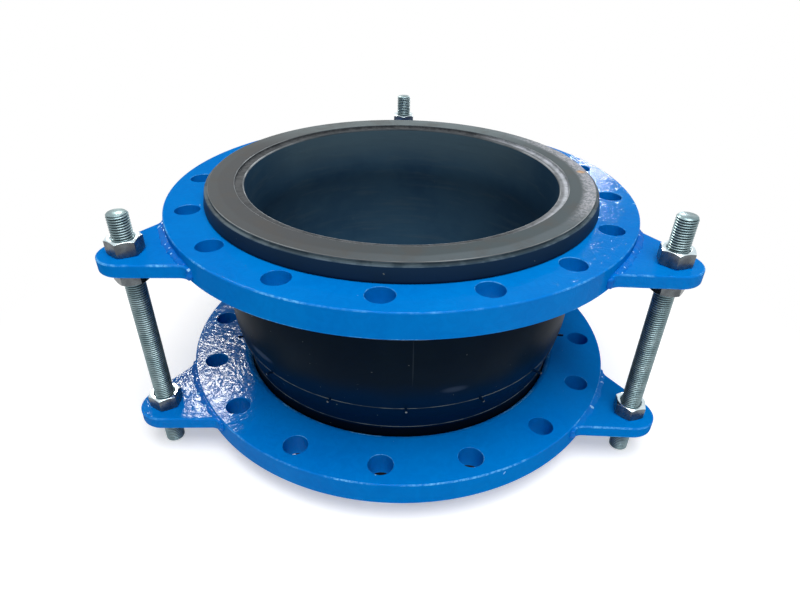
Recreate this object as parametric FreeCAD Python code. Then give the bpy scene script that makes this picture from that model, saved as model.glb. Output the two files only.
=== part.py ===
import FreeCAD, Part
import math
import os

# Rubber expansion joint, DN350, with three control rods.
# Millimetres, +Z up. The origin is the centre of the lower flange's outer face.
# Flanges, lugs and rubber are mirror-symmetric about the plane half way between the flanges.

# Moulded rubber body
bore_radius = 175.0
wall_thickness = 16.5
arch_height = 14.2
crown_share = 0.7
collar_width = 27.5
collar_thickness = 18.5
collar_draft = 3.0
collar_heel_round = 2.0
collar_edge_round = 1.0
rabbet_width = 3.5
rabbet_depth = 2.8
lip_width = 9.5
lip_depth = 3.0
lip_edge_round = 1.5

# Flanges
flange_thickness = 27.0
flange_gap = 172.0
flange_edge_break = 1.2
flange_bore_clearance = 0.3
bore_edge_round = 8.5
bolt_count = 16
first_bolt_angle = 18.75
bolt_hole_radius = 13.0
collar_to_bolt_hole = 3.0
bolt_hole_to_rim = 12.0

# Control rod lugs, welded to the flange rims
first_lug_angle = 90.0
rim_to_rod = 38.0
lug_thickness = 14.0
lug_inset = 2.0
lug_tip_radius = 27.5
lug_flank_angle = 28.0
lug_edge_break = 1.0
lug_root_gap = 0.2
lug_root_round = 14.0
lug_root_toe = 2.5
outer_bead_size = 7.0
inner_bead_width = 6.0
bead_end_margin = 8.0
bead_fit = 0.05

# Control rods and nuts
rod_radius = 10.0
rod_end_chamfer = 1.5
rod_hole_clearance = 2.0
rod_end_above_nut = {"rear": 27.0, "left": 24.0, "right": 32.0}
rod_end_below_lug = 38.4
nut_sides = 6
nut_height = 16.0
nut_across_flats = 30.0
nut_face_share = 0.95
nut_chamfer_angle = 30.0
nut_bore_clearance = 0.05
nut_countersink = 1.6
outer_nut_turn = {"rear": 30.0, "left": 26.0, "right": 15.0}
inner_nut_turn = {"rear": 40.0, "left": 17.0, "right": 51.0}
limit_nut_turn = {"rear": 8.0, "left": 30.0, "right": 16.0}

# Radii, worked out from the bore
neck_radius = bore_radius + wall_thickness
collar_radius = neck_radius + collar_width
bolt_circle_radius = collar_radius + collar_to_bolt_hole + bolt_hole_radius
rim_radius = bolt_circle_radius + bolt_hole_radius + bolt_hole_to_rim
rod_circle_radius = rim_radius + rim_to_rod
rod_hole_radius = rod_radius + rod_hole_clearance

# Levels, from the origin up
lower_inner_face = flange_thickness
upper_inner_face = lower_inner_face + flange_gap
upper_outer_face = upper_inner_face + flange_thickness
middle = upper_outer_face / 2
upper_lug_bottom = upper_inner_face + lug_inset
upper_lug_top = upper_lug_bottom + lug_thickness
lower_lug_top = lower_inner_face - lug_inset
lower_lug_bottom = lower_lug_top - lug_thickness
rod_bottom = lower_lug_bottom - rod_end_below_lug

# Angles of the three rods
lug_names = ("rear", "left", "right")
lug_step = 360.0 / len(lug_names)
lug_angles = {name: first_lug_angle + i * lug_step for i, name in enumerate(lug_names)}

# Lengths shorter than this count as none
same_place = 0.001

origin = FreeCAD.Vector(0, 0, 0)
axis = FreeCAD.Vector(0, 0, 1)


def at(r, z):
    """Point of a turned profile: r from the axis, z up."""
    return FreeCAD.Vector(r, 0, z)


def on_circle(radius, angle, z=0.0):
    turn = math.radians(angle)
    return FreeCAD.Vector(radius * math.cos(turn), radius * math.sin(turn), z)


def line(start, end):
    return Part.LineSegment(start, end).toShape()


def arc(start, middle_point, end):
    return Part.Arc(start, middle_point, end).toShape()


def corner_arc(before, corner, after, radius):
    """Start, middle and end of the arc that rounds a corner."""
    back = FreeCAD.Vector(before - corner).normalize()
    ahead = FreeCAD.Vector(after - corner).normalize()
    half = back.getAngle(ahead) / 2
    inwards = FreeCAD.Vector(back + ahead).normalize()
    start = corner + back * (radius / math.tan(half))
    end = corner + ahead * (radius / math.tan(half))
    middle_point = corner + inwards * (radius / math.sin(half) - radius)
    return start, middle_point, end


def turned(edges):
    """Solid of revolution about the joint's axis."""
    outline = Part.Wire(Part.__sortEdges__(edges))
    return Part.Face(outline).revolve(origin, axis, 360)


def mirrored(shape):
    """The same shape at the other end of the joint."""
    return shape.mirror(at(0, middle), axis)


def across(point):
    """The point on the other side of the XZ plane."""
    return FreeCAD.Vector(point.x, -point.y, point.z)


def placed(shape, angle):
    """The shape turned about the joint's axis, from +X to its own angle."""
    return shape.copy().rotate(origin, axis, angle)


def on_rod(shape, angle, z):
    """The shape set on a rod's axis, at height z."""
    return shape.copy().translate(on_circle(rod_circle_radius, angle, z))


def flange():
    """Upper flange: a loose steel ring, rounded at the bore where the rubber arch leaves it."""
    hole_wall = neck_radius + flange_bore_clearance
    bore_round = corner_arc(
        at(rim_radius, upper_inner_face),
        at(hole_wall, upper_inner_face),
        at(hole_wall, upper_outer_face),
        bore_edge_round,
    )
    corners = [
        bore_round[2],
        at(hole_wall, upper_outer_face),
        at(rim_radius - flange_edge_break, upper_outer_face),
        at(rim_radius, upper_outer_face - flange_edge_break),
        at(rim_radius, upper_inner_face + flange_edge_break),
        at(rim_radius - flange_edge_break, upper_inner_face),
        bore_round[0],
    ]
    ring = turned([arc(*bore_round)] + [line(a, b) for a, b in zip(corners, corners[1:])])
    pitch = 360.0 / bolt_count
    feet = [
        on_circle(bolt_circle_radius, first_bolt_angle + pitch * i, upper_inner_face)
        for i in range(bolt_count)
    ]
    holes = [Part.makeCylinder(bolt_hole_radius, flange_thickness, foot, axis) for foot in feet]
    return ring.cut(Part.makeCompound(holes))


def arch(radius):
    """The arch from neck to neck: a crown arc between two flare arcs, all tangent to each other."""
    half_length = flange_gap / 2
    slope = 2 * math.atan(arch_height / half_length)
    both_radii = half_length / math.sin(slope)
    crown_radius = both_radii * crown_share
    flare_radius = both_radii - crown_radius
    crown_top = radius + arch_height
    join_r = crown_top - crown_radius * (1 - math.cos(slope))
    join_z = crown_radius * math.sin(slope)
    flare_r = radius + flare_radius * (1 - math.cos(slope / 2))
    flare_z = half_length - flare_radius * math.sin(slope / 2)
    return [
        arc(at(radius, lower_inner_face), at(flare_r, middle - flare_z), at(join_r, middle - join_z)),
        arc(at(join_r, middle - join_z), at(crown_top, middle), at(join_r, middle + join_z)),
        arc(at(join_r, middle + join_z), at(flare_r, middle + flare_z), at(radius, upper_inner_face)),
    ]


def upper_collar():
    """Outline from the neck's outside round the drafted collar and over its sealing face to the bore."""
    face = upper_outer_face + collar_thickness
    rabbet_floor = face - rabbet_depth
    top_radius = collar_radius - collar_draft
    face_edge = top_radius - rabbet_width
    lip_floor = face - lip_depth
    lip_start = bore_radius + lip_width
    heel = corner_arc(
        at(neck_radius, upper_outer_face),
        at(collar_radius, upper_outer_face),
        at(top_radius, rabbet_floor),
        collar_heel_round,
    )
    shoulder = corner_arc(
        heel[2],
        at(top_radius, rabbet_floor),
        at(face_edge, rabbet_floor),
        collar_edge_round,
    )
    bore_edge = corner_arc(
        at(lip_start, lip_floor),
        at(bore_radius, lip_floor),
        at(bore_radius, upper_inner_face),
        lip_edge_round,
    )
    neck = [at(neck_radius, upper_inner_face), at(neck_radius, upper_outer_face), heel[0]]
    side = [heel[2], shoulder[0]]
    sealing_face = [
        shoulder[2],
        at(face_edge, rabbet_floor),
        at(face_edge, face),
        at(lip_start, face),
        at(lip_start, lip_floor),
        bore_edge[0],
    ]
    bore = [bore_edge[2], at(bore_radius, upper_inner_face)]
    edges = [arc(*heel), arc(*shoulder), arc(*bore_edge)]
    for run in (neck, side, sealing_face, bore):
        edges += [line(a, b) for a, b in zip(run, run[1:])]
    return edges


def rubber_bellows():
    """One moulding: two sealing collars, two necks through the flanges and the arch between them."""
    collar = upper_collar()
    outline = collar + [mirrored(edge) for edge in collar] + arch(neck_radius) + arch(bore_radius)
    return turned(outline)


def flank_crossing(radius, offset=0.0):
    """Angle at which a lug's flank, moved outwards by offset, crosses a circle about the joint's axis."""
    reach = lug_tip_radius + rod_circle_radius * math.sin(math.radians(lug_flank_angle))
    return math.degrees(math.asin((reach + offset) / radius)) - lug_flank_angle


def lug_side(root_radius):
    """Half of a lug's outline, on the +Y side: from the tip along the flank and round to the root."""
    tip_centre = on_circle(rod_circle_radius, 0)
    normal = on_circle(1.0, 90.0 - lug_flank_angle)
    toe_radius = root_radius + lug_root_toe
    centre_distance = toe_radius + lug_root_round
    round_angle = flank_crossing(centre_distance, lug_root_round)
    centre = on_circle(centre_distance, round_angle)
    flank_end = centre - normal * lug_root_round
    toe = on_circle(toe_radius, round_angle)
    inwards = FreeCAD.Vector(flank_end + toe - centre * 2).normalize()
    tip_end = tip_centre + normal * lug_tip_radius
    root_end = on_circle(root_radius, round_angle)
    edges = [
        line(tip_end, flank_end),
        arc(flank_end, centre + inwards * lug_root_round, toe),
        line(toe, root_end),
    ]
    return tip_end, root_end, edges


def upper_lug():
    """Plate lug on +X: round tip about the rod hole, flared root, end hollowed to the flange rim."""
    root_radius = rim_radius + lug_root_gap
    tip_end, root_end, side = lug_side(root_radius)
    other_side = [edge.mirror(origin, FreeCAD.Vector(0, 1, 0)) for edge in side]
    tip = arc(across(tip_end), on_circle(rod_circle_radius + lug_tip_radius, 0), tip_end)
    root = arc(root_end, on_circle(root_radius, 0), across(root_end))
    outline = Part.Wire(Part.__sortEdges__([tip, root] + side + other_side))
    plate = Part.Face(outline).extrude(axis * lug_thickness)
    free_edges = [edge for edge in plate.Edges if is_level(edge) and not is_root(edge, root_radius)]
    plate = plate.makeChamfer(lug_edge_break, free_edges)
    hole = Part.makeCylinder(rod_hole_radius, lug_thickness, on_circle(rod_circle_radius, 0), axis)
    return plate.cut(hole).translate(at(0, upper_lug_bottom))


def is_level(edge):
    return edge.BoundBox.ZLength < same_place


def is_root(edge, root_radius):
    """True for the root's arc and for the short edges that end on it."""
    nearest = min(math.hypot(vertex.X, vertex.Y) for vertex in edge.Vertexes)
    return abs(nearest - root_radius) < same_place


def weld_bead(width, height):
    """Fillet weld along the rim on +X, standing on the level z = 0, with rounded ends."""
    corner_radius = rim_radius + bead_fit
    crown_radius = (width**2 + height**2) / (2 * abs(height))
    side = math.copysign(1.0, height)
    span = math.atan2(width, crown_radius - abs(height))
    foot = at(corner_radius, 0)
    top = at(corner_radius, height)
    toe = at(corner_radius + width, 0)
    crown = top + FreeCAD.Vector(math.sin(span / 2), 0, side * (math.cos(span / 2) - 1)) * crown_radius
    section = Part.Face(Part.Wire([line(foot, top), arc(top, crown, toe), line(toe, foot)]))
    margin = math.degrees(bead_end_margin / rim_radius)
    half_angle = flank_crossing(rim_radius) - margin
    bead = placed(section, -half_angle).revolve(origin, axis, 2 * half_angle)
    for direction in (-1, 1):
        end_face = placed(section, direction * half_angle)
        end_foot = on_circle(corner_radius, direction * half_angle)
        bead = bead.fuse(end_face.revolve(end_foot, axis, direction * 90))
    return bead.removeSplitter()


def upper_weld_beads():
    """Two beads on each lug: a fillet on the outer side and a low one on the inner side."""
    outer = weld_bead(outer_bead_size, outer_bead_size).translate(at(0, upper_lug_top))
    inner = weld_bead(inner_bead_width, -lug_inset).translate(at(0, upper_lug_bottom))
    return Part.makeCompound(
        [placed(bead, angle) for angle in lug_angles.values() for bead in (outer, inner)]
    )


def control_rod(end_above_nut):
    """Threaded rod, drawn at its outside diameter."""
    rod_top = upper_lug_top + nut_height + end_above_nut
    rod = Part.makeCylinder(rod_radius, rod_top - rod_bottom)
    return rod.makeChamfer(rod_end_chamfer, [edge for edge in rod.Edges if is_level(edge)])


def hex_nut():
    """Hexagon nut standing on z = 0: cone-chamfered corners and a countersunk hole at both faces."""
    side_angle = 360.0 / nut_sides
    corner_radius = nut_across_flats / 2 / math.cos(math.radians(side_angle / 2))
    face_radius = nut_across_flats / 2 * nut_face_share
    chamfer = (corner_radius - face_radius) * math.tan(math.radians(nut_chamfer_angle))
    corners = [on_circle(corner_radius, side_angle * i) for i in range(nut_sides + 1)]
    prism = Part.Face(Part.makePolygon(corners)).extrude(axis * nut_height)
    blank_profile = [
        at(0, 0),
        at(face_radius, 0),
        at(corner_radius, chamfer),
        at(corner_radius, nut_height - chamfer),
        at(face_radius, nut_height),
        at(0, nut_height),
        at(0, 0),
    ]
    blank = Part.Face(Part.makePolygon(blank_profile)).revolve(origin, axis, 360)
    hole_radius = rod_radius + nut_bore_clearance
    mouth_radius = hole_radius + nut_countersink
    hole_profile = [
        at(0, 0),
        at(mouth_radius, 0),
        at(hole_radius, nut_countersink),
        at(hole_radius, nut_height - nut_countersink),
        at(mouth_radius, nut_height),
        at(0, nut_height),
        at(0, 0),
    ]
    hole = Part.Face(Part.makePolygon(hole_profile)).revolve(origin, axis, 360)
    return prism.common(blank).cut(hole)


def save(name, shape):
    shape.exportStep("parts/" + name + ".step")


def save_flanges_and_rubber():
    ring = flange()
    save("upper_flange", ring)
    save("lower_flange", mirrored(ring))
    save("rubber_bellows", rubber_bellows())


def save_lugs():
    plate = upper_lug()
    for name, angle in lug_angles.items():
        upper = placed(plate, angle)
        save("upper_lug_" + name, upper)
        save("lower_lug_" + name, mirrored(upper))
    beads = upper_weld_beads()
    save("upper_weld_beads", beads)
    save("lower_weld_beads", mirrored(beads))


def save_rods_and_nuts():
    nut = hex_nut()
    nut_rows = (
        ("upper_outer_nut_", outer_nut_turn, upper_lug_top),
        ("upper_inner_nut_", inner_nut_turn, upper_lug_bottom - nut_height),
        ("lower_inner_nut_", limit_nut_turn, lower_lug_top),
    )
    for name, angle in lug_angles.items():
        rod = control_rod(rod_end_above_nut[name])
        save("control_rod_" + name, on_rod(rod, angle, rod_bottom))
        for prefix, turns, z in nut_rows:
            save(prefix + name, on_rod(placed(nut, turns[name]), angle, z))


os.makedirs("parts", exist_ok=True)
save_flanges_and_rubber()
save_lugs()
save_rods_and_nuts()
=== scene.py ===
import math

import bmesh
import bpy
from mathutils import Matrix, Vector, noise


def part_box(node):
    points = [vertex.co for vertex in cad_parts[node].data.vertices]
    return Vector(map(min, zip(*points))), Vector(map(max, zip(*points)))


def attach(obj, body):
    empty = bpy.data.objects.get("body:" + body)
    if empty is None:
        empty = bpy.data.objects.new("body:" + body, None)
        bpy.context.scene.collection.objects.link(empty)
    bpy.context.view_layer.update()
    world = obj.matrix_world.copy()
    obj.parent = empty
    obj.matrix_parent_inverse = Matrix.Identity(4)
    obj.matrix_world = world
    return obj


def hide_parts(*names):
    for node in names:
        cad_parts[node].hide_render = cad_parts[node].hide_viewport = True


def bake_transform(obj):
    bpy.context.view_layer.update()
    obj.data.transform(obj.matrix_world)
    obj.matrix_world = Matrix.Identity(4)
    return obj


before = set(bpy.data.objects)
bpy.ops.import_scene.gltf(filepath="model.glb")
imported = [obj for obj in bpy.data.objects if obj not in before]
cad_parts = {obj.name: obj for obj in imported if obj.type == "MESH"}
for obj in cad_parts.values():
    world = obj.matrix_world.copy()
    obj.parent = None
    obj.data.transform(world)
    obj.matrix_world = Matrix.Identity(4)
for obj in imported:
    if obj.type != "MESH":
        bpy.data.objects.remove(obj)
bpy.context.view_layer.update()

# Sizes in metres, from the frame where it holds them
MM = 0.001
flange_low, flange_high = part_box("upper_flange")
lower_flange_low, lower_flange_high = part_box("lower_flange")
sealing_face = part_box("rubber_bellows")[1].z
floor_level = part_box("control_rod_rear")[0].z
lug_low, lug_high = (corner.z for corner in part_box("upper_lug_rear"))

rim_radius = 260 * MM
middle = (flange_high.z + lower_flange_low.z) / 2
inner_face = flange_low.z
outer_face = flange_high.z

bore_radius = 175 * MM
wall_thickness = 16.5 * MM
neck_radius = bore_radius + wall_thickness
arch_height = 14.2 * MM
crown_share = 0.7
collar_radius = 219 * MM
collar_draft = 3 * MM
rabbet_width = 3.5 * MM
rabbet_depth = 2.8 * MM
lip_width = 9.5 * MM
lip_depth = 3 * MM
bore_hole_radius = neck_radius + 0.3 * MM

flash_levels = (42.5 * MM, 76 * MM)
vent_count = 16
first_vent_angle = 2.5
vent_length = 9 * MM
vent_thickness = 3 * MM

bolt_count = 16
first_bolt_angle = 18.75
bolt_circle_radius = 235 * MM
bolt_hole_radius = 13 * MM

lug_angles = {"rear": 90.0, "left": 210.0, "right": 330.0}
rod_circle_radius = 298 * MM
rod_radius = 10 * MM
rod_hole_radius = 12 * MM
lug_tip_radius = 27.5 * MM
lug_flank_angle = math.radians(28)
lug_root_round = 14 * MM
lug_root_toe = 2.7 * MM
plate_edge_round = 1.6 * MM
thread_pitch = 2.5 * MM

# Camera, at the photograph's place
camera_place = (1.4 * MM, -627.1 * MM, 472.4 * MM)
camera_yaw = math.radians(-0.09)
camera_pitch = math.radians(32.6)
camera_roll = math.radians(1.11)
camera_lens = 25.85
camera_sensor_width = 36


def polar(radius, angle, z=0.0):
    """Point at a radius and an angle about the joint's axis."""
    return Vector((radius * math.cos(angle), radius * math.sin(angle), z))


def smooth_step(low, high, value):
    """0 up to low, 1 from high, and a smooth change between."""
    t = min(max((value - low) / (high - low), 0.0), 1.0)
    return t * t * (3 - 2 * t)


# Materials of the rubber body, in the order of its slots
SKIN, FACE, LEDGE, FLASH, BORE, RABBET, SHOULDER, FACE_EDGE, LIP_EDGE = range(9)


# Mesh helpers


def new_object(name, mesh, materials, body=None, nodes=()):
    """Links a mesh as a piece, gives it its materials and ties it to the frame."""
    piece = bpy.data.objects.new(name, mesh)
    bpy.context.scene.collection.objects.link(piece)
    for material in materials:
        mesh.materials.append(material)
    if body:
        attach(piece, body)
    if nodes:
        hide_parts(*nodes)
    return piece


def grid_mesh(name, rows, wrap_rows=False):
    """Mesh through rows of points. Each row closes on itself."""
    columns = len(rows[0])
    mesh = bpy.data.meshes.new(name)
    faces = []
    count = len(rows)
    for i in range(count if wrap_rows else count - 1):
        a = i * columns
        b = (i + 1) % count * columns
        for j in range(columns):
            k = (j + 1) % columns
            faces.append((a + j, a + k, b + k, b + j))
    mesh.from_pydata([p for row in rows for p in row], [], faces)
    mesh.validate()
    return mesh


def outwards(mesh):
    """Turns the faces to the outside and shades them smooth."""
    shape = bmesh.new()
    shape.from_mesh(mesh)
    bmesh.ops.recalc_face_normals(shape, faces=shape.faces)
    shape.to_mesh(mesh)
    shape.free()
    for polygon in mesh.polygons:
        polygon.use_smooth = True
    return mesh


def round_corner(before, corner, after, radius, steps=5):
    """Points along the arc that rounds a corner of a profile."""
    before, corner, after = Vector(before), Vector(corner), Vector(after)
    back = (before - corner).normalized()
    ahead = (after - corner).normalized()
    half = back.angle(ahead) / 2
    cut = radius / math.tan(half)
    start = corner + back * cut
    end = corner + ahead * cut
    centre = corner + (back + ahead).normalized() * (radius / math.sin(half))
    turn = math.pi - 2 * half
    points = []
    for i in range(steps + 1):
        t = i / steps
        a = math.sin((1 - t) * turn) / math.sin(turn)
        b = math.sin(t * turn) / math.sin(turn)
        points.append(centre + (start - centre) * a + (end - centre) * b)
    return points


def rounded_outline(corners):
    """Closed outline from (r, z, radius) corners, each rounded by its radius."""
    points = []
    count = len(corners)
    for i, (r, z, radius) in enumerate(corners):
        before = corners[i - 1][:2]
        after = corners[(i + 1) % count][:2]
        points += round_corner(before, (r, z), after, radius)
    return points


def apply_modifiers(piece):
    """Replaces the piece's mesh with its modified one."""
    depsgraph = bpy.context.evaluated_depsgraph_get()
    mesh = bpy.data.meshes.new_from_object(piece.evaluated_get(depsgraph))
    piece.modifiers.clear()
    piece.data = mesh


def weighted_normals(piece):
    """Keeps flat faces flat and lets their rounded edges carry the shading."""
    for polygon in piece.data.polygons:
        polygon.use_smooth = True
    modifier = piece.modifiers.new("normals", "WEIGHTED_NORMAL")
    modifier.weight = 100
    modifier.keep_sharp = True
    apply_modifiers(piece)


# Material helpers


def make(tree, kind, inputs=(), **settings):
    """Adds a node. Inputs are values, or sockets to link."""
    node = tree.nodes.new(kind)
    for key, value in settings.items():
        setattr(node, key, value)
    for key, value in dict(inputs).items():
        if isinstance(value, bpy.types.NodeSocket):
            tree.links.new(value, node.inputs[key])
        else:
            node.inputs[key].default_value = value
    return node


def new_material(name):
    material = bpy.data.materials.new(name)
    material.use_nodes = True
    tree = material.node_tree
    tree.nodes.clear()
    shader = make(tree, "ShaderNodeBsdfPrincipled")
    make(tree, "ShaderNodeOutputMaterial", {"Surface": shader.outputs["BSDF"]})
    return material, tree, shader


def object_coordinates(tree):
    return make(tree, "ShaderNodeTexCoord").outputs["Object"]


def noise_value(tree, coordinates, scale, detail=2.0, roughness=0.5, distortion=0.0):
    inputs = {
        "Vector": coordinates,
        "Scale": scale,
        "Detail": detail,
        "Roughness": roughness,
        "Distortion": distortion,
    }
    return make(tree, "ShaderNodeTexNoise", inputs).outputs["Fac"]


def math_value(tree, operation, a, b=0.0, c=0.0):
    return make(tree, "ShaderNodeMath", {0: a, 1: b, 2: c}, operation=operation).outputs[0]


def remap(tree, value, low, high, to_low=0.0, to_high=1.0):
    """Smooth change from one range to another, held at the ends."""
    inputs = {"Value": value, "From Min": low, "From Max": high, "To Min": to_low, "To Max": to_high}
    return make(tree, "ShaderNodeMapRange", inputs, interpolation_type="SMOOTHSTEP").outputs["Result"]


def mix_colors(tree, factor, a, b):
    node = make(tree, "ShaderNodeMix", {0: factor}, data_type="RGBA")
    for index, value in ((6, a), (7, b)):
        if isinstance(value, bpy.types.NodeSocket):
            tree.links.new(value, node.inputs[index])
        else:
            node.inputs[index].default_value = (*value, 1.0)
    return node.outputs[2]


def bump(tree, height, distance, normal=None):
    node = make(tree, "ShaderNodeBump", {"Height": height, "Distance": distance, "Strength": 1.0})
    if normal is not None:
        tree.links.new(normal, node.inputs["Normal"])
    return node.outputs["Normal"]


def linear(red, green, blue):
    """Linear colour of an sRGB colour written in 0 to 255."""

    def channel(value):
        v = value / 255
        return v / 12.92 if v <= 0.04045 else ((v + 0.055) / 1.055) ** 2.4

    return (channel(red), channel(green), channel(blue))


def radius_and_height(tree, coordinates):
    """Distance from the joint's axis, height, x and y, in metres."""
    parts = make(tree, "ShaderNodeSeparateXYZ", {0: coordinates})
    x, y, z = parts.outputs[0], parts.outputs[1], parts.outputs[2]
    squares = math_value(tree, "MULTIPLY_ADD", x, x, math_value(tree, "MULTIPLY", y, y))
    return math_value(tree, "SQRT", squares), z, x, y


# Materials


def spot(tree, x, y, z, angle, height, width, thickness):
    """Soft patch on the outside of the arch, 1 at its middle: angle in degrees, sizes in metres."""
    turn = math.radians(angle)
    y_across = math_value(tree, "MULTIPLY", y, math.cos(turn))
    across = math_value(tree, "MULTIPLY_ADD", x, -math.sin(turn), y_across)
    y_part = math_value(tree, "MULTIPLY", y, math.sin(turn))
    outwards_part = math_value(tree, "MULTIPLY_ADD", x, math.cos(turn), y_part)
    side = math_value(tree, "DIVIDE", across, width)
    level = math_value(tree, "DIVIDE", math_value(tree, "SUBTRACT", z, height), thickness)
    distance = math_value(tree, "MULTIPLY_ADD", side, side, math_value(tree, "MULTIPLY", level, level))
    facing = math_value(tree, "GREATER_THAN", outwards_part, 0.1)
    return math_value(tree, "MULTIPLY", remap(tree, distance, 0.0, 1.0, 1.0, 0.0), facing)


def blue_paint(name, tone, light_tone, gloss, wrinkle_depth, glint_dot_level, calm):
    """Thick gloss paint, wrinkled like foil. It is calmer away from the lower left and the upper right. Its
    colour is paler along the wrinkles and dotted with pale specks, as painted glints.
    """
    material, tree, shader = new_material(name)
    place = object_coordinates(tree)
    _, z, x, _ = radius_and_height(tree, place)
    broad = noise_value(tree, place, 11, 3)
    wrinkles = noise_value(tree, place, 85, 2, 0.6, 1.4)
    color = mix_colors(tree, remap(tree, broad, 0.35, 0.65), tone, light_tone)
    # Painted highlight: paler along the wrinkles.
    wrinkle_highlight_tone = mix_colors(tree, remap(tree, wrinkles, 0.35, 0.7, 0.0, 0.12), color, linear(0, 152, 242))
    # Painted glints: small pale dots, more of them on the welds.
    glint_dots = remap(tree, noise_value(tree, place, 180, 0), glint_dot_level, glint_dot_level + 0.03)
    tree.links.new(mix_colors(tree, glint_dots, wrinkle_highlight_tone, linear(150, 210, 250)), shader.inputs["Base Color"])
    shader.inputs["Roughness"].default_value = 0.6
    shader.inputs["Specular IOR Level"].default_value = 0.0
    shader.inputs["Coat Roughness"].default_value = 0.11
    side = math_value(tree, "MULTIPLY", remap(tree, z, lower_flange_high.z, inner_face, -1.0, 1.0), x)
    lively = 0.12
    tree.links.new(remap(tree, side, 0.0, lively, gloss * (1 - calm), gloss), shader.inputs["Coat Weight"])
    relief = math_value(tree, "MULTIPLY", wrinkles, remap(tree, side, 0.0, lively, 1 - calm, 1.0))
    normal = bump(tree, relief, wrinkle_depth)
    tree.links.new(normal, shader.inputs["Normal"])
    tree.links.new(normal, shader.inputs["Coat Normal"])
    return material


def paint_edge_and_highlight(name, tone, light_tone, gloss):
    """Paint that has gathered on a rounded edge, paler in patches: partly the thick paint, partly a painted
    highlight along the rims.
    """
    material, tree, shader = new_material(name)
    place = object_coordinates(tree)
    patches = noise_value(tree, place, 22, 3, 0.6)
    nicks = noise_value(tree, place, 300, 2, 0.6)
    # Partly a painted highlight: pale patches and nicks on the rims.
    pale = math_value(tree, "MULTIPLY", remap(tree, patches, 0.42, 0.66), remap(tree, nicks, 0.3, 0.7))
    tree.links.new(mix_colors(tree, pale, tone, light_tone), shader.inputs["Base Color"])
    shader.inputs["Roughness"].default_value = 0.5
    shader.inputs["Specular IOR Level"].default_value = 0.0
    shader.inputs["Coat Weight"].default_value = gloss
    shader.inputs["Coat Roughness"].default_value = 0.1
    tree.links.new(bump(tree, nicks, 0.2 * MM), shader.inputs["Coat Normal"])
    return material


def outer_rubber():
    """Black rubber outside: dark blue low down and on the collar, a painted reflection of the blue flanges,
    darker still next to the flanges as painted shade, greyer high up, with a pale smudge on the left, a
    painted highlight on the right, a seam line and dots.
    """
    material, tree, shader = new_material("moulded_black")
    place = object_coordinates(tree)
    _, z, x, y = radius_and_height(tree, place)
    clouds = noise_value(tree, place, 9, 4, 0.6)
    # Painted reflection of the blue flange: dark blue low on the arch.
    flange_reflection_blue = linear(4, 32, 60)
    upper = mix_colors(tree, remap(tree, clouds, 0.4, 0.7), linear(6, 23, 38), linear(12, 29, 42))
    uneven = math_value(tree, "MULTIPLY_ADD", clouds, 40 * MM, z)
    tone = mix_colors(tree, remap(tree, uneven, 98 * MM, 128 * MM), flange_reflection_blue, upper)
    # Painted shade: darker still below the lower flash line, next to the lower flange.
    tone = mix_colors(tree, remap(tree, z, 33 * MM, 37 * MM), linear(4, 14, 26), tone)
    # The collar's side: a painted reflection of the blue flange under it, darkest at its foot as painted
    # shade.
    collar = mix_colors(tree, remap(tree, z, 224 * MM, 231 * MM), linear(2, 18, 40), linear(22, 44, 66))
    tone = mix_colors(tree, remap(tree, z, 205 * MM, 215 * MM), tone, collar)
    # A pale smudge on the left, and a painted highlight on the right.
    left = spot(tree, x, y, z, -136, 90 * MM, 24 * MM, 6 * MM)
    right = spot(tree, x, y, z, -74, 94 * MM, 17 * MM, 5 * MM)
    smear_and_highlight = math_value(tree, "MULTIPLY", math_value(tree, "MULTIPLY_ADD", right, 0.5, left), 0.75)
    tone = mix_colors(tree, smear_and_highlight, tone, linear(70, 84, 104))
    seam = spot(tree, x, y, z, -86, 132 * MM, 0.9 * MM, 34 * MM)
    tone = mix_colors(tree, math_value(tree, "MULTIPLY", seam, 0.4), tone, linear(58, 70, 78))
    dots = remap(tree, noise_value(tree, place, 330, 0), 0.86, 0.88)
    tone = mix_colors(tree, dots, tone, linear(96, 104, 104))
    tree.links.new(tone, shader.inputs["Base Color"])
    shader.inputs["Roughness"].default_value = 0.4
    shader.inputs["Specular IOR Level"].default_value = 0.03
    waves = noise_value(tree, place, 22, 2)
    grains = noise_value(tree, place, 900, 2)
    normal = bump(tree, waves, 0.5 * MM)
    normal = bump(tree, grains, 0.03 * MM, normal)
    tree.links.new(normal, shader.inputs["Normal"])
    return material


def stretched(tree, x, y, z, factor):
    """Place with its height scaled, so that a pattern runs round (over 1) or down (under 1) the rubber."""
    parts = {0: x, 1: y, 2: math_value(tree, "MULTIPLY", z, factor)}
    return make(tree, "ShaderNodeCombineXYZ", parts).outputs[0]


def bore_rubber():
    """Slate-blue rubber inside, with faint streaks round it and short marks down it."""
    material, tree, shader = new_material("bore_slate")
    place = object_coordinates(tree)
    _, z, x, y = radius_and_height(tree, place)
    clouds = noise_value(tree, place, 8, 4, 0.6)
    around = stretched(tree, x, y, z, 9)
    streaks = noise_value(tree, around, 14, 4, 0.6)
    down = stretched(tree, x, y, z, 0.35)
    marks = noise_value(tree, down, 130, 2)
    tone = mix_colors(tree, remap(tree, clouds, 0.35, 0.7), linear(34, 63, 88), linear(46, 75, 97))
    tone = mix_colors(tree, remap(tree, streaks, 0.5, 0.75, 0.0, 0.45), tone, linear(62, 82, 96))
    tone = mix_colors(tree, remap(tree, marks, 0.7, 0.8, 0.0, 0.25), tone, linear(70, 88, 100))
    upper_part = remap(tree, z, 180 * MM, 232 * MM, 0.0, 0.7)
    lit = math_value(tree, "MULTIPLY", upper_part, remap(tree, y, 20 * MM, 130 * MM))
    tone = mix_colors(tree, lit, tone, linear(74, 94, 104))
    tree.links.new(tone, shader.inputs["Base Color"])
    shader.inputs["Roughness"].default_value = 0.5
    shader.inputs["Specular IOR Level"].default_value = 0.03
    tree.links.new(bump(tree, streaks, 0.4 * MM), shader.inputs["Normal"])
    return material


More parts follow.
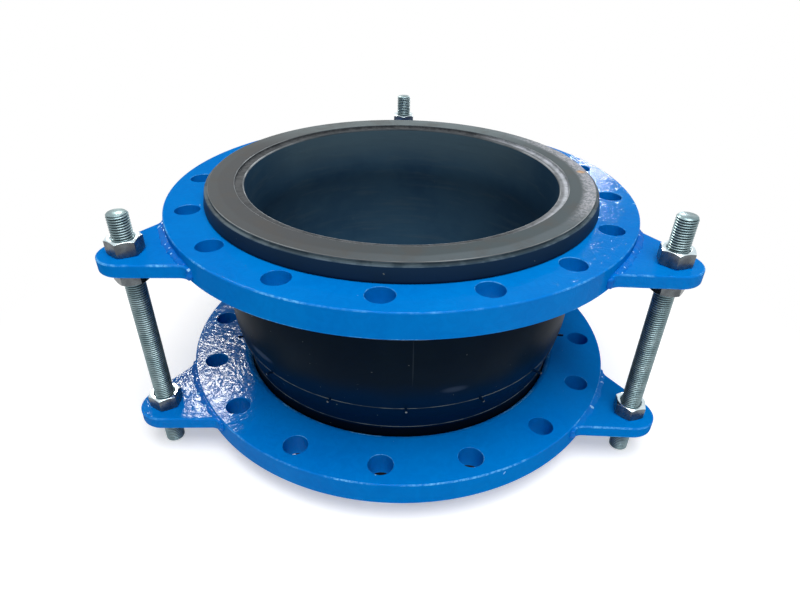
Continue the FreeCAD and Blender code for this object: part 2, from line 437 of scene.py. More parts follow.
def seal_rubber():
    """The matt sealing face: a paler outer ring, a darker inner one, painted sheen towards the right and the
    back, scuffs on the right that partly stand in for glints, and a rust spot on the right.
    """
    material, tree, shader = new_material("sealing_face_rubber")
    place = object_coordinates(tree)
    radius, _, x, y = radius_and_height(tree, place)
    wobble = noise_value(tree, place, 16, 3)
    edge = math_value(tree, "MULTIPLY_ADD", wobble, 8 * MM, radius)
    outer_ring = remap(tree, edge, 203 * MM, 207 * MM)
    # Painted sheen: both rings paler and bluer towards the right.
    cool = remap(tree, x, -120 * MM, 60 * MM)
    inner_tone = mix_colors(tree, cool, linear(77, 80, 83), linear(76, 86, 90))
    outer_tone = mix_colors(tree, cool, linear(80, 84, 87), linear(90, 100, 105))
    tone = mix_colors(tree, outer_ring, inner_tone, outer_tone)
    # Painted sheen: paler towards the back.
    tone = mix_colors(tree, remap(tree, y, 60 * MM, 190 * MM, 0.0, 0.6), tone, linear(130, 142, 145))
    stain = remap(tree, noise_value(tree, place, 42, 5, 0.65), 0.45, 0.7)
    tone = mix_colors(tree, math_value(tree, "MULTIPLY", stain, 0.4), tone, linear(84, 80, 76))
    # Painted sheen on the right of the outer ring, with scuffs there that partly stand in for glints.
    rightmost = remap(tree, x, 135 * MM, 190 * MM)
    to_right = math_value(tree, "MULTIPLY", rightmost, remap(tree, radius, 196 * MM, 205 * MM))
    behind = remap(tree, y, -150 * MM, -70 * MM)
    wear_and_sheen = math_value(tree, "MULTIPLY", to_right, behind)
    tone = mix_colors(tree, math_value(tree, "MULTIPLY", wear_and_sheen, 0.4), tone, linear(160, 164, 170))
    scuffs = remap(tree, noise_value(tree, place, 330, 4, 0.7), 0.44, 0.56)
    scuffs_and_glints = math_value(tree, "MULTIPLY", scuffs, wear_and_sheen)
    tone = mix_colors(tree, math_value(tree, "MULTIPLY", scuffs_and_glints, 0.75), tone, linear(186, 186, 194))
    rust = remap(tree, spot_on_face(tree, x, y, 205 * MM, 10 * MM, 8 * MM), 0.1, 0.8)
    tone = mix_colors(tree, math_value(tree, "MULTIPLY", rust, 0.6), tone, linear(214, 160, 96))
    tree.links.new(tone, shader.inputs["Base Color"])
    shader.inputs["Roughness"].default_value = 0.6
    shader.inputs["Specular IOR Level"].default_value = 0.03
    grains = noise_value(tree, place, 500, 4, 0.65)
    normal = bump(tree, wobble, 0.6 * MM)
    normal = bump(tree, grains, 0.1 * MM, normal)
    tree.links.new(normal, shader.inputs["Normal"])
    return material


def spot_on_face(tree, x, y, centre_x, centre_y, size):
    """Soft round patch on a level face, 1 at its middle."""
    dx = math_value(tree, "SUBTRACT", x, centre_x)
    dy = math_value(tree, "SUBTRACT", y, centre_y)
    squares = math_value(tree, "MULTIPLY_ADD", dx, dx, math_value(tree, "MULTIPLY", dy, dy))
    return remap(tree, math_value(tree, "SQRT", squares), 0.0, size, 1.0, 0.0)


def ledge_rubber():
    """The lip's ledge: dark grey on the left, and pale on the right with a painted highlight."""
    material, tree, shader = new_material("ledge_rubber")
    place = object_coordinates(tree)
    radius, _, x, _ = radius_and_height(tree, place)
    specks = noise_value(tree, place, 130, 4, 0.6)
    dark = mix_colors(tree, remap(tree, specks, 0.35, 0.65), linear(56, 60, 64), linear(80, 83, 86))
    # Painted highlight: the pale tone on the right.
    pale = mix_colors(tree, remap(tree, specks, 0.35, 0.65), linear(150, 156, 162), linear(186, 190, 198))
    outer_part = remap(tree, radius, bore_radius + 3.5 * MM, bore_radius + 6.5 * MM, 0.3, 1.0)
    ledge_highlight_share = math_value(tree, "MULTIPLY", remap(tree, x, 90 * MM, 165 * MM), outer_part)
    tone = mix_colors(tree, ledge_highlight_share, dark, pale)
    tree.links.new(tone, shader.inputs["Base Color"])
    shader.inputs["Roughness"].default_value = 0.4
    shader.inputs["Specular IOR Level"].default_value = 0.03
    tree.links.new(bump(tree, specks, 0.1 * MM), shader.inputs["Normal"])
    return material


def flash(name, dark, light, scale=60, dim_behind=0.0):
    """Thin edge or flash that the mould left, pale in places and less so behind. On the rounded edges of the
    shoulder, sealing face and lip the pale colour is a painted highlight.
    """
    material, tree, shader = new_material(name)
    place = object_coordinates(tree)
    _, _, _, y = radius_and_height(tree, place)
    breaks = remap(tree, noise_value(tree, place, scale, 3), 0.38, 0.6)
    tone = mix_colors(tree, breaks, dark, light)
    # On the rounded edges the painted highlight fades towards the back, by dim_behind.
    behind = remap(tree, y, 60 * MM, 150 * MM, 0.0, dim_behind)
    tree.links.new(mix_colors(tree, behind, tone, linear(44, 56, 64)), shader.inputs["Base Color"])
    shader.inputs["Roughness"].default_value = 0.5
    shader.inputs["Specular IOR Level"].default_value = 0.03
    return material


def zinc(name, warm, cool, roughness, metallic=1.0):
    """Bright zinc plating with a faint passivation tint, duller where metallic is under 1."""
    material, tree, shader = new_material(name)
    place = object_coordinates(tree)
    patches = noise_value(tree, place, 110, 3)
    tone = mix_colors(tree, remap(tree, patches, 0.35, 0.65), warm, cool)
    tree.links.new(tone, shader.inputs["Base Color"])
    shader.inputs["Metallic"].default_value = metallic
    smears = noise_value(tree, place, 240, 3)
    tree.links.new(remap(tree, smears, 0.3, 0.7, roughness, roughness + 0.12), shader.inputs["Roughness"])
    tree.links.new(bump(tree, patches, 0.05 * MM), shader.inputs["Normal"])
    return material


# Rubber body


def arch_radius(neck, t):
    """Radius of the arch at a distance t from its middle plane: crown arc, then flare arc."""
    half = inner_face - middle
    slope = 2 * math.atan(arch_height / half)
    both = half / math.sin(slope)
    crown = both * crown_share
    flare = both - crown
    if t < crown * math.sin(slope):
        return neck + arch_height - crown + math.sqrt(crown**2 - t**2)
    return neck + flare - math.sqrt(flare**2 - (half - t) ** 2)


def rubber_half_profile():
    """Rows of (r, height over the middle plane, material) from the crown over the collar to the bore."""
    half = inner_face - middle
    top = sealing_face - middle
    heel = outer_face - middle
    top_radius = collar_radius - collar_draft
    face_outer = top_radius - rabbet_width
    face_inner = bore_radius + lip_width
    rows = []
    arch_steps = 66
    corner_steps = 4
    face_steps = 10
    inner_steps = 40
    for i in range(arch_steps):
        t = half * i / arch_steps
        rows.append((arch_radius(neck_radius, t), t, SKIN))
    ridge = ((-0.4, 0.0, FLASH), (-0.12, 0.3, FLASH), (0.12, 0.3, FLASH), (0.4, 0.0, SKIN))
    ridge_room = 0.6 * MM
    for level in flash_levels:
        r = arch_radius(neck_radius, level)
        rows = [row for row in rows if abs(row[1] - level) > ridge_room]
        for dt, dr, material in ridge:
            rows.append((r + dr * MM, level + dt * MM, material))
    rows.sort(key=lambda row: row[1])
    # The shoulder, face edge and lip edge arcs take materials with painted highlights.
    corners = [
        (neck_radius, heel, 0.8 * MM, SKIN, SKIN),
        (collar_radius, heel, 2 * MM, SKIN, SKIN),
        (top_radius, top - rabbet_depth, 1 * MM, SHOULDER, RABBET),
        (face_outer, top - rabbet_depth, 0.4 * MM, RABBET, RABBET),
        (face_outer, top, 0.6 * MM, FACE_EDGE, FACE),
        (face_inner, top, 0.6 * MM, LIP_EDGE, LEDGE),
        (face_inner, top - lip_depth, 0.5 * MM, LEDGE, LEDGE),
        (bore_radius, top - lip_depth, 1.4 * MM, LIP_EDGE, BORE),
    ]
    path = [(neck_radius, half)] + [corner[:2] for corner in corners] + [(bore_radius, half)]
    rows.append((neck_radius, half, SKIN))
    for i, (r, z, radius, edge_material, next_material) in enumerate(corners):
        arc = round_corner(path[i], (r, z), path[i + 2], radius, corner_steps)
        for p in arc[:-1]:
            rows.append((p.x, p.y, edge_material))
        rows.append((arc[-1].x, arc[-1].y, next_material))
        if next_material == FACE:
            start = r - radius
            end = face_inner + 1 * MM
            for k in range(1, face_steps):
                rows.append((start + (end - start) * k / face_steps, z, FACE))
    rows.append((bore_radius, half, BORE))
    for i in range(inner_steps - 1, -1, -1):
        t = half * i / inner_steps
        rows.append((arch_radius(bore_radius, t), t, BORE))
    return rows


def vent_whisker(angle):
    """Rows of a thin rubber whisker that a mould vent left on the lower flash line."""
    level = flash_levels[0]
    buried = 1 * MM
    start = arch_radius(neck_radius, level) - buried
    uneven = noise.noise(Vector((angle * 3, 1.3, 0)))
    length = vent_length * (1 + 0.5 * uneven)
    taper = 0.2
    rise = 1.2 * MM
    steps = 6
    sides = 8
    rows = []
    for i in range(steps + 1):
        t = i / steps
        radius = vent_thickness / 2 * (1 - taper * t)
        row = []
        for j in range(sides):
            turn = 2 * math.pi * j / sides
            sideways = radius * math.cos(turn) / start
            z = middle - level + rise * t * t + radius * math.sin(turn)
            row.append(polar(start + length * t, angle + sideways, z))
        rows.append(row)
    return rows


def add_whiskers(mesh):
    """Adds the vent whiskers to the rubber's mesh, each with a pale cut end."""
    shape = bmesh.new()
    shape.from_mesh(mesh)
    for i in range(vent_count):
        rows = vent_whisker(math.radians(first_vent_angle + 360 / vent_count * i))
        rings = [[shape.verts.new(p) for p in row] for row in rows]
        sides = len(rings[0])
        for low, high in zip(rings, rings[1:]):
            for j in range(sides):
                k = (j + 1) % sides
                side = shape.faces.new((low[j], low[k], high[k], high[j]))
                side.material_index = SKIN
        cap = shape.faces.new(rings[-1])
        cap.material_index = FACE_EDGE
        shape.faces.new(list(reversed(rings[0]))).material_index = SKIN
    shape.to_mesh(mesh)
    shape.free()


def rubber_body(materials):
    """The whole moulding, with a slightly uneven collar and whiskers on its flash line."""
    half = rubber_half_profile()
    lower = [(r, middle - t, material) for r, t, material in reversed(half)]
    upper = [(r, middle + t, material) for r, t, material in half]
    lower_materials = [row[2] for row in lower[1:]] + [SKIN]
    outline = upper + [(r, z, m) for (r, z, _), m in zip(lower, lower_materials)][1:-1]
    segments = 320
    waves_round = 2.2
    waves_up = 9
    wave_height = 0.35 * MM
    rows = []
    for r, z, _ in outline:
        row = []
        for j in range(segments):
            angle = 2 * math.pi * j / segments
            point = polar(r, angle, z)
            if abs(z - middle) > inner_face - middle:
                wave = noise.noise(polar(waves_round, angle, z * waves_up)) * wave_height
                point += polar(wave, angle)
            row.append(point)
        rows.append(row)
    mesh = grid_mesh("rubber_body", rows, wrap_rows=True)
    for i, polygon in enumerate(mesh.polygons):
        polygon.material_index = outline[i // segments][2]
    add_whiskers(mesh)
    return new_object("rubber_body", outwards(mesh), materials, None, ("rubber_bellows",))


# Flanges and lugs


def lathe(name, outline, segments):
    """Ring turned from a closed outline of (r, z) points."""
    rows = []
    for point in outline:
        rows.append([polar(point.x, 2 * math.pi * j / segments, point.y) for j in range(segments)])
    return grid_mesh(name, rows, wrap_rows=True)


def hole_cutter(edge, depth):
    """Cutter for a bolt hole whose mouths are rounded by the paint. It stands out of both faces."""
    outside = 2 * MM
    steps = 5
    profile = [(bolt_hole_radius + edge, -outside)]
    for i in range(steps + 1):
        turn = math.pi / 2 * i / steps
        profile.append((bolt_hole_radius + edge * (1 - math.sin(turn)), edge * (1 - math.cos(turn))))
    profile += [(r, depth - z) for r, z in reversed(profile)]
    sides = 64
    rows = [[polar(r, 2 * math.pi * j / sides, z) for j in range(sides)] for r, z in profile]
    mesh = grid_mesh("hole_cutter", rows)
    last = (len(rows) - 1) * sides
    shape = bmesh.new()
    shape.from_mesh(mesh)
    shape.verts.ensure_lookup_table()
    shape.faces.new([shape.verts[j] for j in range(sides)])
    shape.faces.new([shape.verts[last + j] for j in range(sides)])
    bmesh.ops.recalc_face_normals(shape, faces=shape.faces)
    shape.to_mesh(mesh)
    shape.free()
    return mesh


def mark_edges(mesh):
    """Gives the rounded edges of a painted plate the second material, whose paler patches are partly a
    painted highlight.
    """
    upright, level = 0.12, 0.985
    for polygon in mesh.polygons:
        slope = abs(polygon.normal.z)
        polygon.material_index = 1 if upright < slope < level else 0


def flange(name, node, body, low, high, rounded_at_top, materials):
    """Painted ring with rounded edges and bolt holes. The arch's side of the bore has the large round."""
    large_round = 8.5 * MM
    small_round = 1.2 * MM
    hole_round = 0.7 * MM
    segments = 288
    corners = [
        (bore_hole_radius, high, large_round if rounded_at_top else small_round),
        (rim_radius, high, plate_edge_round),
        (rim_radius, low, plate_edge_round),
        (bore_hole_radius, low, small_round if rounded_at_top else large_round),
    ]
    mesh = outwards(lathe(name, rounded_outline(corners), segments))
    piece = new_object(name, mesh, materials)
    cutters = bpy.data.meshes.new("bolt_hole_cutters")
    shape = bmesh.new()
    cutter = hole_cutter(hole_round, high - low)
    for i in range(bolt_count):
        angle = math.radians(first_bolt_angle + 360 / bolt_count * i)
        before = len(shape.verts)
        shape.from_mesh(cutter)
        shape.verts.ensure_lookup_table()
        move = Matrix.Translation(polar(bolt_circle_radius, angle, low))
        bmesh.ops.transform(shape, matrix=move, verts=shape.verts[before:])
    shape.to_mesh(cutters)
    shape.free()
    holes = bpy.data.objects.new("bolt_hole_cutters", cutters)
    bpy.context.scene.collection.objects.link(holes)
    modifier = piece.modifiers.new("holes", "BOOLEAN")
    modifier.object = holes
    modifier.solver = "EXACT"
    apply_modifiers(piece)
    bpy.data.objects.remove(holes)
    mark_edges(piece.data)
    weighted_normals(piece)
    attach(piece, body)
    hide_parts(node)


def flank_crossing(radius, offset=0.0):
    """Angle at which a lug's flank, moved outwards by offset, crosses a circle about the joint's axis."""
    reach = lug_tip_radius + rod_circle_radius * math.sin(lug_flank_angle) + offset
    return math.asin(reach / radius) - lug_flank_angle


def lug_outline(root_radius):
    """Points round a lug that lies on +X: round tip, flared root, end hollowed to the rim."""
    tangent = math.pi / 2 - lug_flank_angle
    tip = Vector((rod_circle_radius, 0, 0))
    flare_distance = rim_radius + lug_root_toe + lug_root_round
    flare_angle = flank_crossing(flare_distance, lug_root_round)
    flare_centre = polar(flare_distance, flare_angle)
    tip_steps = 28
    flare_steps = 10
    root_steps = 16
    tip_arc = [
        tip + polar(lug_tip_radius, -tangent + 2 * tangent * i / tip_steps)
        for i in range(tip_steps + 1)
    ]
    flare = [
        flare_centre + polar(lug_root_round, math.pi + tangent + (flare_angle - tangent) * i / flare_steps)
        for i in range(flare_steps + 1)
    ]
    root = [
        polar(root_radius, flare_angle * (1 - 2 * i / root_steps))
        for i in range(root_steps + 1)
    ]
    other_flare = [Vector((p.x, -p.y, 0)) for p in reversed(flare)]
    return tip_arc + flare + root + other_flare


def plate_curve(name, outlines, low, high, edge):
    """Flat plate with holes and rounded edges, from closed outlines."""
    edge_steps = 3
    merge_distance = 0.01 * MM
    curve = bpy.data.curves.new(name, "CURVE")
    curve.dimensions = "2D"
    curve.fill_mode = "BOTH"
    curve.extrude = (high - low) / 2 - edge
    curve.bevel_depth = edge
    curve.bevel_resolution = edge_steps
    curve.offset = -edge
    for points in outlines:
        spline = curve.splines.new("POLY")
        spline.points.add(len(points) - 1)
        for target, p in zip(spline.points, points):
            target.co = (p.x, p.y, 0, 1)
        spline.use_cyclic_u = True
    holder = bpy.data.objects.new(name, curve)
    bpy.context.scene.collection.objects.link(holder)
    depsgraph = bpy.context.evaluated_depsgraph_get()
    mesh = bpy.data.meshes.new_from_object(holder.evaluated_get(depsgraph))
    bpy.data.objects.remove(holder)
    shape = bmesh.new()
    shape.from_mesh(mesh)
    bmesh.ops.remove_doubles(shape, verts=shape.verts, dist=merge_distance)
    bmesh.ops.recalc_face_normals(shape, faces=shape.faces)
    shape.to_mesh(mesh)
    shape.free()
    mesh.transform(Matrix.Translation((0, 0, (low + high) / 2)))
    return mesh


def lug(name, node, body, angle, low, high, materials):
    """Painted plate lug with a rod hole. Its root reaches a little way into the rim."""
    centre = Vector((rod_circle_radius, 0, 0))
    sides = 40
    hole = [centre + polar(rod_hole_radius, 2 * math.pi * i / sides) for i in range(sides)]
    overlap = 1.5 * MM
    mesh = plate_curve(name, [lug_outline(rim_radius - overlap), hole], low, high, plate_edge_round)
    mesh.transform(Matrix.Rotation(math.radians(angle), 4, "Z"))
    mark_edges(mesh)
    piece = new_object(name, mesh, materials)
    weighted_normals(piece)
    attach(piece, body)
    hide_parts(node)


def weld_bead_rows(angle, level, side, width, height, seed):
    """Rows round a lumpy bead that lies in the corner between rim and lug and dies out at its ends."""
    end_gap = 2 * MM
    least_size = 0.02
    greatest_drift = 0.8 * MM
    span = flank_crossing(rim_radius) - end_gap / rim_radius
    stations = 120
    ring = 14
    rows = []
    for i in range(stations + 1):
        t = i / stations
        along = angle + span * (2 * t - 1)
        end = math.sqrt(max(1 - (2 * t - 1) ** 12, 0.0))
        swell = 1 + 0.35 * noise.noise(Vector((t * 9 + seed, seed, 0)))
        drift = noise.noise(Vector((t * 11, seed * 3, 5))) * greatest_drift
        row = []
        for k in range(ring):
            turn = 2 * math.pi * k / ring
            lump = 1 + 0.3 * noise.noise(Vector((t * 18 + seed, math.cos(turn) * 1.4, math.sin(turn) * 1.4)))
            size = max(end * swell * lump, least_size)
            out = math.cos(turn) * width * size
            up = (2.5 * math.sin(turn) - 1.5) * height * size
            row.append(polar(rim_radius + drift + out, along, level + side * up))
        rows.append(row)
    return rows


def end_bead_rows(angle, end, face_out, face_in, seed):
    """Rows round the short upright bead at one end of a lug's root."""
    flare_distance = rim_radius + lug_root_toe + lug_root_round
    along = angle + end * flank_crossing(flare_distance, lug_root_round)
    inset = 1 * MM * math.copysign(1, face_out - face_in)
    half_depth = 3.6 * MM
    half_width = 4.5 * MM
    least_size = 0.02
    stations = 24
    ring = 14
    rows = []
    for i in range(stations + 1):
        t = i / stations
        level = face_in + inset + (face_out - face_in - 2 * inset) * t
        closing = math.sqrt(max(1 - (2 * t - 1) ** 8, 0.0))
        size = max(closing, least_size) * (1 + 0.35 * noise.noise(Vector((t * 3 + seed, seed, 0))))
        row = []
        for k in range(ring):
            turn = 2 * math.pi * k / ring
            out = math.cos(turn) * half_depth * size
            sideways = math.sin(turn) * half_width * size / rim_radius
            row.append(polar(rim_radius + out, along + sideways, level))
        rows.append(row)
    return rows


def weld_beads(name, node, body, lug_face_out, lug_face_in, side, material):
    """At each lug a lumpy fillet outside, a low one inside, and an upright bead at both ends of the root."""
    outer_bead = (8 * MM, 2.5 * MM)
    inner_bead = (6.5 * MM, 1.2 * MM)
    rows_of_beads = []
    for i, degrees in enumerate(lug_angles.values()):
        angle = math.radians(degrees)
        for face, out, size in ((lug_face_out, side, outer_bead), (lug_face_in, -side, inner_bead)):
            seed = 3.1 * i + 7 * out + 11 * side
            rows_of_beads.append(weld_bead_rows(angle, face, out, *size, seed))
        for end in (-1, 1):
            seed = 5.3 * i + end + side
            rows_of_beads.append(end_bead_rows(angle, end, lug_face_out, lug_face_in, seed))
    shape = bmesh.new()
    for rows in rows_of_beads:
        mesh = grid_mesh("bead", rows)
        before = len(shape.verts)
        shape.from_mesh(mesh)
        shape.verts.ensure_lookup_table()
        ring = len(rows[0])
        for start in (before, len(shape.verts) - ring):
            shape.faces.new([shape.verts[start + k] for k in range(ring)])
    mesh = bpy.data.meshes.new(name)
    bmesh.ops.recalc_face_normals(shape, faces=shape.faces)
    shape.to_mesh(mesh)
    shape.free()
    return new_object(name, outwards(mesh), [material], body, (node,))


# Rods and nuts


def thread_depth(phase):
    """Depth of the thread at a phase of one turn, from 0 at the crest to 1 at the root."""
    crest, root = 0.14, 0.22
    p = abs((phase % 1.0) - 0.5) * 2
    return 1 - smooth_step(root, 1 - crest, p)


def threaded_rod(name, node, centre, materials):
    """Rod with a real helical thread and chamfered ends. The grid follows the helix."""
    sides = 40
    steps = 7
    depth = 1.25 * MM
    chamfer = 1.7 * MM
    valley = rod_radius - 0.55 * depth
    merge_distance = 0.002 * MM
    low, high = (corner.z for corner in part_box(node))
    turns = math.ceil((high - low) / thread_pitch)
    points = []
    for i in range(-steps - 1, turns * steps + 2):
        for j in range(sides):
            raw = low + thread_pitch * (i / steps + j / sides)
            z = min(max(raw, low), high)
            r = rod_radius - depth * thread_depth(i / steps)
            inset = chamfer - min(z - low, high - z)
            if inset > 0:
                r = min(r, rod_radius - inset)
            points.append(centre + polar(r, 2 * math.pi * j / sides, z))
    faces = []
    total = len(points)
    for start in range(total - sides):
        j = start % sides
        after = start + 1 if j < sides - 1 else start + 1 - sides + sides * steps
        if after + sides < total:
            faces.append((start, after, after + sides, start + sides))
    mesh = bpy.data.meshes.new(name)
    mesh.from_pydata(points, [], faces)
    shape = bmesh.new()
    shape.from_mesh(mesh)
    bmesh.ops.remove_doubles(shape, verts=shape.verts, dist=merge_distance)
    bmesh.ops.dissolve_degenerate(shape, edges=shape.edges, dist=merge_distance)
    loose = [v for v in shape.verts if not v.link_faces]
    bmesh.ops.delete(shape, geom=loose, context="VERTS")
    rims = [edge for edge in shape.edges if edge.is_boundary]
    bmesh.ops.holes_fill(shape, edges=rims, sides=0)
    # Faces deep in the valleys take the darker zinc: grime and painted shade.
    for face in shape.faces:
        middle_point = face.calc_center_median() - centre
        shallow = min(middle_point.z - low, high - middle_point.z) > chamfer
        face.material_index = 1 if shallow and middle_point.xy.length < valley else 0
    shape.to_mesh(mesh)
    shape.free()
    return new_object(name, outwards(mesh), materials, "upper", (node,))


def nut_turn(node, centre):
    """Angle of a nut's corner about its rod, read from the frame."""
    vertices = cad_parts[node].data.vertices
    far = max(vertices, key=lambda v: (v.co.xy - centre.xy).length)
    offset = far.co.xy - centre.xy
    return math.atan2(offset.y, offset.x)


def hex_radius(angle, turn, half_flats):
    """Distance from a hexagon's middle to its side, at an angle. One corner lies at the angle turn."""
    local = (angle - turn) % (math.pi / 3) - math.pi / 6
    return half_flats / math.cos(local)


def nut(name, node, body, centre, materials):
    """Hexagon nut with coned corners, rounded edges and a countersunk hole."""
    low, high = (corner.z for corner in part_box(node))
    turn = nut_turn(node, centre)
    half_flats = 15 * MM
    face_radius = 14.25 * MM
    cone = math.tan(math.radians(30))
    countersink = 1.6 * MM
    hole = rod_radius + 0.05 * MM
    mouth = hole + countersink
    sides = 96
    rows = []

    def ring(radius_at, height_at):
        row = []
        for j in range(sides):
            angle = turn + 2 * math.pi * j / sides
            row.append(centre + polar(radius_at(angle), angle, height_at(angle)))
        rows.append(row)

    def corner(angle):
        return hex_radius(angle, turn, half_flats)

    def drop(angle):
        return max(corner(angle) - face_radius, 0.0) * cone

    ring(lambda a: hole, lambda a: low + countersink)
    ring(lambda a: mouth, lambda a: low)
    ring(lambda a: face_radius, lambda a: low)
    ring(corner, lambda a: low + drop(a))
    ring(corner, lambda a: high - drop(a))
    ring(lambda a: face_radius, lambda a: high)
    ring(lambda a: mouth, lambda a: high)
    ring(lambda a: hole, lambda a: high - countersink)
    mesh = outwards(grid_mesh(name, rows, wrap_rows=True))
    # The upright faces take a much darker copy of the zinc: painted shade for the dark surroundings they
    # reflect.
    upright = 0.2
    for polygon in mesh.polygons:
        polygon.material_index = 1 if abs(polygon.normal.z) < upright else 0
    piece = new_object(name, mesh, materials)
    modifier = piece.modifiers.new("edges", "BEVEL")
    modifier.width = 0.35 * MM
    modifier.segments = 2
    modifier.limit_method = "ANGLE"
    modifier.angle_limit = math.radians(22)
    apply_modifiers(piece)
    weighted_normals(piece)
    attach(piece, body)
    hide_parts(node)


# Stage


def place_camera():
    """Camera at the photograph's place, turned by yaw, pitch and roll."""
    forward = Vector(
        (
            math.sin(camera_yaw) * math.cos(camera_pitch),
            math.cos(camera_yaw) * math.cos(camera_pitch),
            -math.sin(camera_pitch),
        )
    )
    level_right = Vector((math.cos(camera_yaw), -math.sin(camera_yaw), 0))
    level_up = level_right.cross(forward)
    right = level_right * math.cos(camera_roll) + level_up * math.sin(camera_roll)
    up = level_up * math.cos(camera_roll) - level_right * math.sin(camera_roll)
    data = bpy.data.cameras.new("camera")
    data.lens = camera_lens
    data.sensor_width = camera_sensor_width
    camera = bpy.data.objects.new("camera", data)
    bpy.context.scene.collection.objects.link(camera)
    turn = Matrix((right, up, -forward)).transposed().to_4x4()
    camera.matrix_world = Matrix.Translation(camera_place) @ turn
    bpy.context.scene.camera = camera


def area_light(name, place, target, size, power, color=(1, 1, 1), only_glints=False):
    """Rectangular lamp aimed at a target. One for glints alone is seen only in glossy surfaces."""
    data = bpy.data.lights.new(name, "AREA")
    data.shape = "RECTANGLE"
    data.size, data.size_y = size
    data.energy = power
    data.color = color
    light = bpy.data.objects.new(name, data)
    light.location = place
    aim = Vector(target) - Vector(place)
    light.rotation_euler = aim.to_track_quat("-Z", "Y").to_euler()
    light.visible_diffuse = not only_glints
    bpy.context.scene.collection.objects.link(light)


def meets_white(tree):
    """1 for the rays that see the plain background: the camera's, mirrored ones and those passing through."""
    path = make(tree, "ShaderNodeLightPath")
    seen = math_value(tree, "MAXIMUM", path.outputs["Is Camera Ray"], path.outputs["Is Glossy Ray"])
    return math_value(tree, "MAXIMUM", seen, path.outputs["Is Transmission Ray"])


def light_world():
    """Soft white surroundings: full white to the camera and to reflections, dimmer as a light."""
    world = bpy.data.worlds.new("studio")
    world.use_nodes = True
    tree = world.node_tree
    tree.nodes.clear()
    as_light = 0.33
    strength = remap(tree, meets_white(tree), 0.0, 1.0, as_light, 1.0)
    background = make(tree, "ShaderNodeBackground", {"Color": (1, 1, 1, 1), "Strength": strength})
    make(tree, "ShaderNodeOutputWorld", {"Surface": background.outputs[0]})
    bpy.context.scene.world = world


def pale_floor():
    """White floor that keeps the object's shadow near it and is plain white further out."""
    mesh = bpy.data.meshes.new("floor")
    half = 20
    glow = 0.4
    shadow_radius = 0.33
    white_radius = 0.62
    corners = [(-half, -half), (half, -half), (half, half), (-half, half)]
    mesh.from_pydata([(x, y, floor_level) for x, y in corners], [], [(0, 1, 2, 3)])
    material, tree, shader = new_material("pale_floor")
    place = object_coordinates(tree)
    tint = remap(tree, noise_value(tree, place, 3, 2), 0.3, 0.7)
    tone = mix_colors(tree, tint, (0.84, 0.84, 0.84), (0.86, 0.86, 0.86))
    tree.links.new(tone, shader.inputs["Base Color"])
    shader.inputs["Roughness"].default_value = 0.9
    shader.inputs["Specular IOR Level"].default_value = 0.1
    seen = meets_white(tree)
    shader.inputs["Emission Color"].default_value = (1, 1, 1, 1)
    tree.links.new(math_value(tree, "MULTIPLY", seen, glow), shader.inputs["Emission Strength"])
    radius, _, _, _ = radius_and_height(tree, place)
    plain = make(tree, "ShaderNodeEmission", {"Color": (1, 1, 1, 1), "Strength": 1.0})
    share = math_value(tree, "MULTIPLY", seen, remap(tree, radius, shadow_radius, white_radius))
    mixed = make(tree, "ShaderNodeMixShader", {0: share, 1: shader.outputs[0], 2: plain.outputs[0]})
    output = next(node for node in tree.nodes if node.type == "OUTPUT_MATERIAL")
    tree.links.new(mixed.outputs[0], output.inputs["Surface"])
    floor = new_object("floor", mesh, [material])


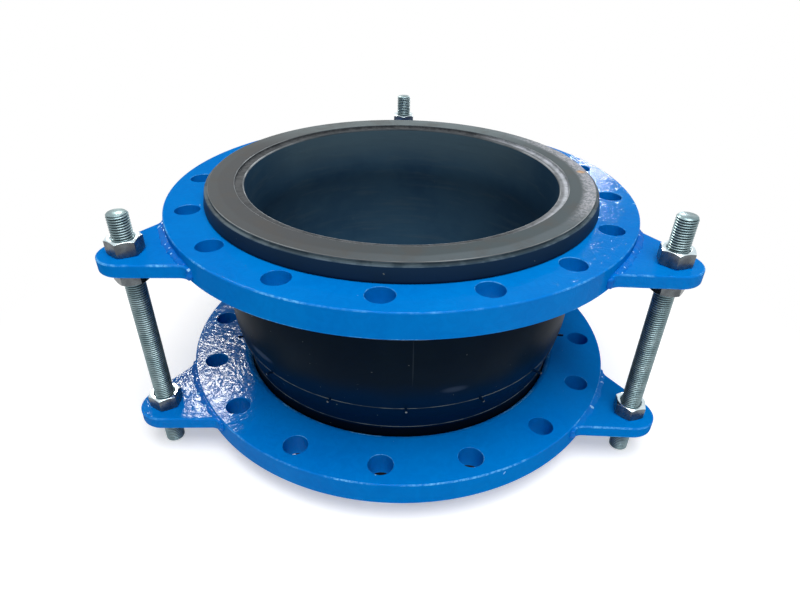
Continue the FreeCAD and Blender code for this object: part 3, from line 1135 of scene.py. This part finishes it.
def build_object():
    """Makes every piece of the joint from its node in the frame."""
    edge = paint_edge_and_highlight("paint_edge_and_highlight", linear(2, 122, 214), linear(110, 195, 248), 0.1)
    paint = blue_paint("flange_paint", linear(0, 117, 205), linear(0, 123, 210), 0.09, 0.5 * MM, 0.87, 0.7)
    weld_paint = blue_paint("weld_paint", linear(0, 104, 198), linear(0, 124, 216), 0.16, 1.6 * MM, 0.73, 0.0)
    rod_zinc = zinc("rod_zinc", (0.16, 0.24, 0.26), (0.24, 0.33, 0.35), 0.3, 0.7)
    # Darker zinc in the thread's valleys: grime and painted shade.
    valley_grime_and_shade = zinc("thread_valley", (0.02, 0.034, 0.04), (0.04, 0.055, 0.06), 0.4)
    nut_zinc = zinc("nut_zinc", (0.58, 0.69, 0.73), (0.68, 0.79, 0.83), 0.16)
    # Darker zinc copy for the nuts' upright faces: painted shade.
    shaded_side_zinc = zinc("nut_side_shaded", (0.1, 0.11, 0.12), (0.16, 0.18, 0.19), 0.22, 0.9)
    # The shoulder, face edge and lip edge strips are painted highlights on rounded edges.
    rubber_slots = {
        SKIN: outer_rubber(),
        FACE: seal_rubber(),
        LEDGE: ledge_rubber(),
        FLASH: flash("mould_flash", linear(62, 72, 80), linear(112, 120, 120)),
        BORE: bore_rubber(),
        RABBET: flash("rabbet_rubber", linear(52, 65, 74), linear(76, 90, 98)),
        SHOULDER: flash("shoulder_highlight", linear(50, 68, 82), linear(84, 100, 112)),
        FACE_EDGE: flash("face_edge_highlight", linear(96, 100, 102), linear(140, 146, 148), 14, 0.8),
        LIP_EDGE: flash("lip_edge_highlight", linear(112, 118, 122), linear(166, 172, 176), 20, 0.9),
    }

    rubber = rubber_body([rubber_slots[i] for i in range(len(rubber_slots))])
    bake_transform(rubber)

    painted = [paint, edge]
    lower_low, lower_high = lower_flange_low.z, lower_flange_high.z
    flange("upper_flange_painted", "upper_flange", "upper", inner_face, outer_face, False, painted)
    flange("lower_flange_painted", "lower_flange", "lower", lower_low, lower_high, True, painted)
    lug_under, lug_over = 2 * middle - lug_high, 2 * middle - lug_low
    for name, angle in lug_angles.items():
        centre = polar(rod_circle_radius, math.radians(angle))
        lug(f"upper_lug_painted_{name}", f"upper_lug_{name}", "upper", angle, lug_low, lug_high, painted)
        lug(f"lower_lug_painted_{name}", f"lower_lug_{name}", "lower", angle, lug_under, lug_over, painted)
        threaded_rod(f"threaded_rod_{name}", f"control_rod_{name}", centre, [rod_zinc, valley_grime_and_shade])
        for kind in ("upper_outer_nut", "upper_inner_nut", "lower_inner_nut"):
            node = f"{kind}_{name}"
            nut(f"plated_{node}", node, node, centre, [nut_zinc, shaded_side_zinc])
    weld_beads("upper_welds_painted", "upper_weld_beads", "upper", lug_high, lug_low, 1, weld_paint)
    weld_beads("lower_welds_painted", "lower_weld_beads", "lower", lug_under, lug_over, -1, weld_paint)


build_object()
pale_floor()
light_world()
area_light("overhead", (0.2, -0.95, 2.5), (0, 0, 0.1), (1.8, 1.8), 57)
area_light("window_left", (-2.7, 5.6, 5.1), (-0.22, -0.08, 0.03), (0.55, 0.9), 400, (1, 0.97, 0.88), True)
area_light("window_right", (2.4, 6.46, 2.32), (0.2, 0.08, 0.226), (0.5, 0.3), 85, (0.95, 0.98, 1), True)
place_camera()
bpy.context.scene.view_settings.view_transform = "Standard"
